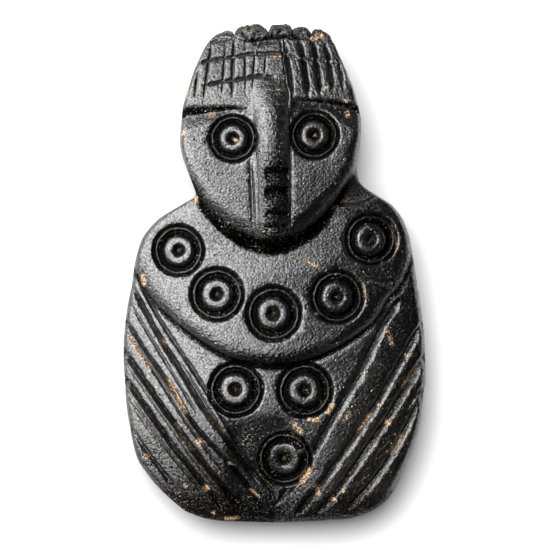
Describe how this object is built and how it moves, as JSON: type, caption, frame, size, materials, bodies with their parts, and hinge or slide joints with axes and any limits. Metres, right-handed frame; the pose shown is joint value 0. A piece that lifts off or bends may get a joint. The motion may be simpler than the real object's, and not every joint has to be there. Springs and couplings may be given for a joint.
{
  "type": "stone idol",
  "caption": "Small carved black stone idol lying on its back, with a ridged nose, drilled ring-and-dot marks, a raised collar and slanting flank grooves.",
  "frame": {"origin": "centre of the box's underside, on the flat of the idol's back", "axes": "+Y from foot to crown, +X to the right of someone looking at the face, +Z out of the carved front"},
  "size_m": [0.0456, 0.075, 0.0205],
  "materials": {
    "black_stone": "waxy hand polish with pits and earth in the cuts"
  },
  "bodies": {
    "root": {"stone_idol": "black_stone"}
  },
  "joints": []
}
